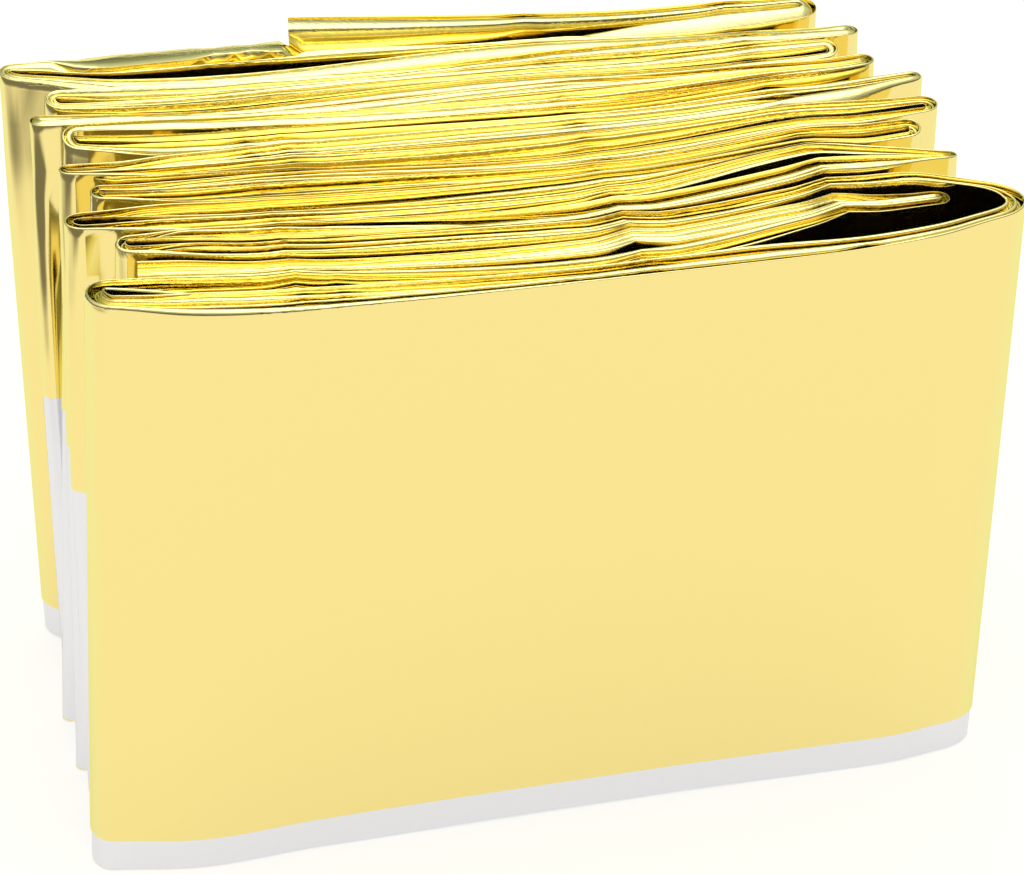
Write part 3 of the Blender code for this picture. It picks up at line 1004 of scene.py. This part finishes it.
    def build(self) -> dict:
        """Work out the sheet's points and its gold side's directions.

        A point lies between the strip's two faces at its share of the width, on the straight line
        from the top edge to the foot. The share goes from the crest's to an even spacing.

        Returns:
            Arrays with a row for each column of the strip: the points, the directions that the gold
            side faces, the developed place on the flat sheet, and how near a fold's edge each is.
        """
        route = self.route
        lobe, turn, arc = self.lobe, self.on[Place.TURN], self.on[Place.ARC]
        crests = self.crests()
        z = self.heights(crests)
        crest = route.crest[:, None]
        even = self.even_part.at(crest - z)
        middle = (1.0 - even) * crests.centre[:, lobe] + even * ((lobe + 0.5) / self.lobes)
        half_even = 0.5 / self.lobes * (1.0 - self.apart)
        half = (1.0 - even) * crests.half[:, lobe] + even * half_even
        across = middle + self.side * half
        across[:, turn] = (lobe[turn] + 1.0) / self.lobes
        tall = crest - self.round_most
        low = np.clip((tall - z) / tall, 0.0, 1.0)
        bulge = self.flutes(z, low) * (lobe == self.lobes - 1)
        ways = [route.side_ways(line)[:, None, :] for line in (route.top, route.foot)]
        ends = []
        for level, line in enumerate((route.top, route.foot)):
            left, right = route.halves[:, level, :, None]
            offset = across * (left + right) - right + bulge
            ends.append(line[:, None, :] + ways[level] * offset[:, :, None])
        down = low[:, :, None]
        plan = ends[0] * (1.0 - down) + ends[1] * down - np.array(CENTRE)
        points = np.concatenate([plan, z[:, :, None]], axis=2)
        way = ways[0] * (1.0 - down) + ways[1] * down
        way /= np.linalg.norm(way, axis=2)[:, :, None]

        lateral = np.where(turn, 0.0, np.where(arc, self.side, np.sign(self.side)))
        upward = np.where(turn, 1.0, np.where(arc, self.value, 0.0))
        upward = np.broadcast_to(upward[None, :, None], (*z.shape, 1))
        facing = np.concatenate([way * lateral[None, :, None], upward], axis=2)
        steps = np.linalg.norm(np.diff(points, axis=1), axis=2)
        developed = np.concatenate([np.zeros((len(z), 1)), np.cumsum(steps, axis=1)], axis=1)
        edge = np.where(arc, self.arc_end + (1.0 - self.arc_end) * self.value, 0.0)
        return {
            "points": points, "facing": facing, "developed": developed,
            "edge": np.broadcast_to(edge[None, :], z.shape),
        }


def fill_sockets(node: Node, inputs: dict) -> None:
    """Set a node's inputs by name or number.

    Args:
        node: the node.
        inputs: for each input, its constant, or the output socket that feeds it.
    """
    for key, value in inputs.items():
        if isinstance(value, NodeSocket):
            node.id_data.links.new(value, node.inputs[key])
        else:
            node.inputs[key].default_value = value


def add_node(
    tree: NodeTree, kind: str, inputs: dict | None = None, **settings: object,
) -> bpy_prop_collection:
    """Add a shader node.

    Args:
        tree: the node tree.
        kind: the node's type, without its prefix.
        inputs: for each input, its constant, or the output socket that feeds it.
        settings: the node's own settings, which are made first.

    Returns:
        Its outputs, by name.
    """
    node = tree.nodes.new(f"ShaderNode{kind}")
    for name, value in settings.items():
        setattr(node, name, value)
    fill_sockets(node, inputs or {})
    return node.outputs


@dataclass(frozen=True)
class FilmFinish:
    """Bright metal coat on polyester film."""

    name: str
    colour: tuple[float, float, float]
    slanted: tuple[float, float, float]  # colour where it is seen at a slant
    grazing: tuple[float, float, float]  # and where it is seen almost edge on
    roughness: float
    crinkle: float  # height of the fine crinkles, as a Bump distance in metres
    edge_crinkle: float  # the same at the edges of folds
    slant: tuple[float, float] = (0.27, 0.7)  # facing between which the colour changes

    def material(self, group: NodeTree) -> Material:
        """The finish as a material.

        Args:
            group: node group that makes the crinkles.

        Returns:
            A new material.
        """
        material = bpy.data.materials.new(self.name)
        material.use_nodes = True
        tree = material.node_tree
        facing = add_node(tree, "LayerWeight", {"Blend": 0.5})["Facing"]
        share = add_node(tree, "MapRange", {
            "Value": facing, "From Min": self.slant[0], "From Max": self.slant[1],
        }, interpolation_type="SMOOTHSTEP")["Result"]
        tone = {"Factor": share, "A": (*self.colour, 1.0), "B": (*self.slanted, 1.0)}
        heights = {"Face height": self.crinkle, "Edge height": self.edge_crinkle}
        height = add_node(tree, "Group", heights, node_tree=group)["Height"]
        relief = {"Strength": 1.0, "Distance": 1.0, "Height": height}
        fill_sockets(tree.nodes["Principled BSDF"], {
            "Base Color": add_node(tree, "Mix", tone, data_type="RGBA")["Result"],
            "Metallic": 1.0,
            "Specular Tint": (*self.grazing, 1.0),
            "Roughness": self.roughness,
            "Normal": add_node(tree, "Bump", relief)["Normal"],
        })
        return material


def crinkle_group() -> NodeTree:
    """Node group for crinkled film, whose height follows the sheet's own UV map in metres.

    Faces get broad soft noise. Fold edges get fine noise that is drawn out along the fold, more in
    worn patches than elsewhere.

    Returns:
        The node group.
    """
    tree = bpy.data.node_groups.new("film_crinkles", "ShaderNodeTree")
    for name, way in (("Face height", "INPUT"), ("Edge height", "INPUT"), ("Height", "OUTPUT")):
        tree.interface.new_socket(name, in_out=way, socket_type="NodeSocketFloat")
    inlet = tree.nodes.new("NodeGroupInput").outputs
    sheet = add_node(tree, "UVMap", uv_map="sheet")["UV"]
    drawn = add_node(tree, "Mapping", {"Vector": sheet, "Scale": (1.0, 2.5, 1.0)})["Vector"]
    broad, fine, patch = (
        add_node(tree, "TexNoise", {"Vector": at, "Scale": scale, "Detail": detail})["Fac"]
        for at, scale, detail in ((sheet, 38.0, 2.0), (drawn, 900.0, 3.0), (sheet, 45.0, 2.0))
    )
    worn = add_node(tree, "MapRange", {
        "Value": patch, "From Min": 0.46, "From Max": 0.6, "To Min": 0.1,
    }, interpolation_type="SMOOTHSTEP")["Result"]

    def product(first: NodeSocket, second: NodeSocket) -> NodeSocket:
        """Product of two outputs."""
        return add_node(tree, "Math", {0: first, 1: second}, operation="MULTIPLY")["Value"]

    edge = add_node(tree, "Attribute", attribute_name="fold_edge")["Fac"]
    height = add_node(tree, "Math", {
        0: product(product(fine, edge), worn),
        1: inlet["Edge height"],
        2: product(broad, inlet["Face height"]),
    }, operation="MULTIPLY_ADD")["Value"]
    fill_sockets(tree.nodes.new("NodeGroupOutput"), {"Height": height})
    return tree


GOLD = FilmFinish(
    "gold_side", (0.955, 0.8, 0.32), (0.9, 0.86, 0.38), (0.98, 0.93, 0.58), 0.08, 0.0003, 0.00008,
)
SILVER = FilmFinish(
    "silver_side", (0.85, 0.855, 0.91), (0.82, 0.83, 0.88), (1.0, 1.0, 1.0), 0.22, 0.0004, 0.00004,
)


@dataclass
class FoilBlanket:
    """The whole pack, made as a few closed thin shells that follow one another along the strip."""

    route: Route
    sheet: FoldedSheet
    parts: tuple[str, ...] = ("front", "inner", "middle", "rear", "back")
    sharp_angle: float = math.radians(80.0)  # faces that meet at more than this aren't smoothed

    def make(self) -> None:
        grid = self.sheet.build()
        cuts = np.linspace(0, len(grid["points"]) - 1, len(self.parts) + 1).astype(int)
        group = crinkle_group()
        finishes = [GOLD.material(group), SILVER.material(group)]
        for name, first, last in zip(self.parts, cuts[:-1], cuts[1:]):
            part = {key: array[first:last + 1] for key, array in grid.items()}
            along = self.route.along[first:last + 1]
            piece = self.shell(f"film_{name}", part, along, finishes)
            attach(piece, "root")
            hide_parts(NODE)

    def shell(self, name: str, part: dict, along: np.ndarray, finishes: list) -> Object:
        """One closed thin shell: the gold side, the silver side and the cut edges between them.

        Both sides are the grid moved along its facing directions by half the film's thickness.

        Args:
            name: name of the piece.
            part: the piece's columns of the sheet's arrays.
            along: place of each column along the strip.
            finishes: the gold and the silver material.

        Returns:
            The new object.
        """
        points, facing = part["points"], part["facing"]
        n, m = points.shape[:2]
        shift = facing * self.sheet.film / 2.0
        both = np.stack([points + shift, points - shift]).reshape(-1, 3) * MM
        index = np.arange(n * m).reshape(n, m)
        a, b, c, d = index[:-1, :-1], index[1:, :-1], index[1:, 1:], index[:-1, 1:]
        gold = np.stack([a, b, c, d], axis=-1).reshape(-1, 4)
        silver = np.stack([a, d, c, b], axis=-1).reshape(-1, 4) + n * m
        rims = []
        for line, turned in (
            (index[:, 0], True), (index[:, -1], False), (index[0], False), (index[-1], True),
        ):
            rim = np.stack([line[:-1], line[1:], line[1:] + n * m, line[:-1] + n * m], axis=-1)
            rims.append(rim[:, ::-1] if turned else rim)
        faces = np.concatenate([gold, silver, *rims])
        kinds = np.zeros(len(faces), dtype=np.int32)
        kinds[len(gold):2 * len(gold)] = 1
        mesh = bpy.data.meshes.new(name)
        mesh.vertices.add(len(both))
        mesh.vertices.foreach_set("co", both.astype(np.float32).ravel())
        mesh.loops.add(faces.size)
        mesh.loops.foreach_set("vertex_index", faces.astype(np.int32).ravel())
        mesh.polygons.add(len(faces))
        mesh.polygons.foreach_set("loop_start", np.arange(0, faces.size, 4, dtype=np.int32))
        mesh.polygons.foreach_set("material_index", kinds)
        mesh.update(calc_edges=True)
        mesh.validate()
        across = np.broadcast_to(along[:, None], (n, m))
        flat = np.stack([across, part["developed"]], axis=-1).reshape(-1, 2) * MM
        mapping = mesh.uv_layers.new(name="sheet")
        corners = np.concatenate([flat, flat])[faces.ravel()]
        mapping.data.foreach_set("uv", corners.astype(np.float32).ravel())
        near = mesh.attributes.new("fold_edge", "FLOAT", "POINT")
        near.data.foreach_set("value", np.tile(part["edge"].reshape(-1), 2).astype(np.float32))
        mesh.polygons.foreach_set("use_smooth", np.ones(len(faces), dtype=bool))
        mesh.set_sharp_from_angle(angle=self.sharp_angle)
        for finish in finishes:
            mesh.materials.append(finish)
        piece = bpy.data.objects.new(name, mesh)
        bpy.context.scene.collection.objects.link(piece)
        return piece


@dataclass(frozen=True)
class Studio:
    """White floor, light tent and camera."""

    floor_size: float = 8.0
    floor_colour_painted_warm: tuple = (0.355, 0.308, 0.238)  # its colour, tinted warm as painted light from the gold film above it
    floor_glow: float = 0.65  # it is a light table
    floor_seen: float = 0.74  # its glow as the camera sees it
    # X where the floor's reflection is dimmest and where it is full, and its share at both
    floor_fall: tuple = (-0.30, -0.2, 0.2, 1.0)
    tint: tuple = (0.95, 1.03, 1.04)  # of the light tent
    # Brightness by height over the horizon, from 0 to 1, in front of the pack and behind it
    front_light: tuple = (
        (0.0, 0.9), (0.02, 0.1), (0.25, 0.16), (0.5, 0.5),
        (0.72, 0.85), (0.88, 1.6), (0.94, 2.4), (1.0, 2.6),
    )
    rear_light: tuple = (
        (0.0, 0.15), (0.14, 0.3), (0.32, 0.52), (0.57, 0.7),
        (0.75, 1.1), (0.88, 1.8), (0.94, 2.6), (1.0, 2.6),
    )
    rear_from: tuple = (-0.15, 0.35)  # Y of the directions between which one passes into the other
    # Share of it from the left, 0, to the right, 1
    side_light: tuple = (
        (0.0, 1.3), (0.12, 1.1), (0.3, 0.7), (0.53, 1.0), (0.66, 1.0), (0.82, 0.8), (1.0, 1.3),
    )
    sensor: float = 36.0
    focal: float = 3500.0 / 1024.0 * 36.0  # 3500 for a picture 1024 wide
    clip: tuple[float, float] = (0.01, 100.0)
    eye: tuple[float, float, float] = (-85.593, -319.345, 292.856)
    azimuth: float = -14.0084
    elevation: float = 35.5
    roll: float = 0.1407

    def make(self) -> None:
        """Make the floor, the surroundings and the camera."""
        self.make_floor()
        self.make_world()
        self.make_camera()

    def make_floor(self) -> None:
        """A plain pale floor, which the film reflects as dimmer far out to the left."""
        half = self.floor_size / 2.0
        mesh = bpy.data.meshes.new("floor")
        corners = [(-half, -half, 0.0), (half, -half, 0.0), (half, half, 0.0), (-half, half, 0.0)]
        mesh.from_pydata(corners, [], [(0, 1, 2, 3)])
        floor = bpy.data.objects.new("floor", mesh)
        material = bpy.data.materials.new("pale_floor")
        material.use_nodes = True
        material.cycles.emission_sampling = "NONE"
        tree = material.node_tree
        place = add_node(tree, "TexCoord")["Object"]
        ranges = {"Value": add_node(tree, "SeparateXYZ", {"Vector": place})["X"]}
        ranges.update(zip(("From Min", "From Max", "To Min", "To Max"), self.floor_fall))
        fall = add_node(tree, "MapRange", ranges, interpolation_type="SMOOTHSTEP")["Result"]
        path = add_node(tree, "LightPath")
        glossy = {"Factor": path["Is Glossy Ray"], "A": 1.0, "B": fall}
        share = add_node(tree, "Mix", glossy)["Result"]
        dimmed = {0: share, 1: self.floor_glow}
        glow = add_node(tree, "Math", dimmed, operation="MULTIPLY")["Value"]
        lit = {"Factor": path["Is Camera Ray"], "A": glow, "B": self.floor_seen}
        # Floor colour with painted warm light from the film, dimmed in the film's reflections far
        # to the left
        tone = {"Factor": share, "A": BLACK, "B": (*self.floor_colour_painted_warm, 1.0)}
        fill_sockets(tree.nodes["Principled BSDF"], {
            "Roughness": 1.0,
            "Specular IOR Level": 0.0,
            "Base Color": add_node(tree, "Mix", tone, data_type="RGBA")["Result"],
            "Emission Color": WHITE,
            "Emission Strength": add_node(tree, "Mix", lit)["Result"],
        })
        mesh.materials.append(material)
        bpy.context.scene.collection.objects.link(floor)
        floor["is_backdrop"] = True

    @staticmethod
    def ramp(tree: NodeTree, at: NodeSocket, stops: tuple, tint: tuple = WHITE) -> NodeSocket:
        """Grey ramp with soft steps.

        Args:
            tree: the world's node tree.
            at: output socket with the place on the ramp.
            stops: pairs of a place from 0 to 1 and a brightness.
            tint: colour that multiplies it.

        Returns:
            Its output socket.
        """
        node = tree.nodes.new("ShaderNodeValToRGB")
        fill_sockets(node, {"Fac": at})
        node.color_ramp.interpolation = "EASE"
        while len(node.color_ramp.elements) < len(stops):
            node.color_ramp.elements.new(0.5)
        for element, (place, level) in zip(node.color_ramp.elements, stops):
            element.position = place
            element.color = (*(level * share for share in tint[:3]), 1.0)
        return node.outputs["Color"]

    def make_world(self) -> None:
        """A light tent: brightest overhead, dimmer to the sides, dark low in front."""
        world = bpy.data.worlds.new("light_tent")
        bpy.context.scene.world = world
        world.use_nodes = True
        # The light is wide and soft, and the film's own rays find it soon enough
        world.cycles.sampling_method = "NONE"
        tree = world.node_tree
        tree.nodes.clear()
        way = add_node(tree, "SeparateXYZ", {"Vector": add_node(tree, "TexCoord")["Generated"]})
        rear = {"Value": way["Y"], "From Min": self.rear_from[0], "From Max": self.rear_from[1]}
        light = add_node(tree, "Mix", {
            "Factor": add_node(tree, "MapRange", rear)["Result"],
            "A": self.ramp(tree, way["Z"], self.front_light),
            "B": self.ramp(tree, way["Z"], self.rear_light),
        }, data_type="RGBA")["Result"]
        sideways = add_node(tree, "MapRange", {"Value": way["X"], "From Min": -1.0})["Result"]
        strip = self.ramp(tree, sideways, self.side_light, self.tint)
        both = {"Factor": 1.0, "A": light, "B": strip}
        tinted = add_node(tree, "Mix", both, data_type="RGBA", blend_type="MULTIPLY")["Result"]
        seen = {"Factor": add_node(tree, "LightPath")["Is Camera Ray"], "A": tinted, "B": WHITE}
        shown = add_node(tree, "Mix", seen, data_type="RGBA")["Result"]
        background = add_node(tree, "Background", {"Color": shown})["Background"]
        add_node(tree, "OutputWorld", {"Surface": background})
        bpy.context.scene.view_settings.view_transform = "Standard"

    def make_camera(self) -> None:
        """A long lens that looks down on the pack from the front, a little to the left."""
        azimuth, elevation, roll = (
            math.radians(angle) for angle in (self.azimuth, self.elevation, self.roll)
        )
        back = Vector((
            math.sin(azimuth) * math.cos(elevation),
            -math.cos(azimuth) * math.cos(elevation),
            math.sin(elevation),
        ))
        right = (-back).cross(Vector((0.0, 0.0, 1.0))).normalized()
        up = back.cross(right)
        across = right * math.cos(roll) + up * math.sin(roll)
        upright = up * math.cos(roll) - right * math.sin(roll)
        lens = bpy.data.cameras.new("camera")
        lens.lens = self.focal
        lens.sensor_width = self.sensor
        lens.clip_start, lens.clip_end = self.clip
        camera = bpy.data.objects.new("camera", lens)
        eye = Vector((self.eye[0] - CENTRE[0], self.eye[1] - CENTRE[1], self.eye[2])) * MM
        turned = Matrix((across, upright, back)).transposed().to_4x4()
        camera.matrix_world = Matrix.Translation(eye) @ turned
        bpy.context.scene.collection.objects.link(camera)
        bpy.context.scene.camera = camera


def main(cad_box: tuple[Vector, Vector]) -> None:
    """Make the pack and its studio.

    Args:
        cad_box: lowest and highest corner of the CAD model; not used.
    """
    logging.basicConfig(level=logging.INFO, format="%(message)s")
    route = Route()
    LOG.info("strip: %d columns, %.0f mm long", len(route.along), route.along[-1])
    FoilBlanket(route, FoldedSheet(route)).make()
    Studio().make()


if __name__ == "__main__":
    main(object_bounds())
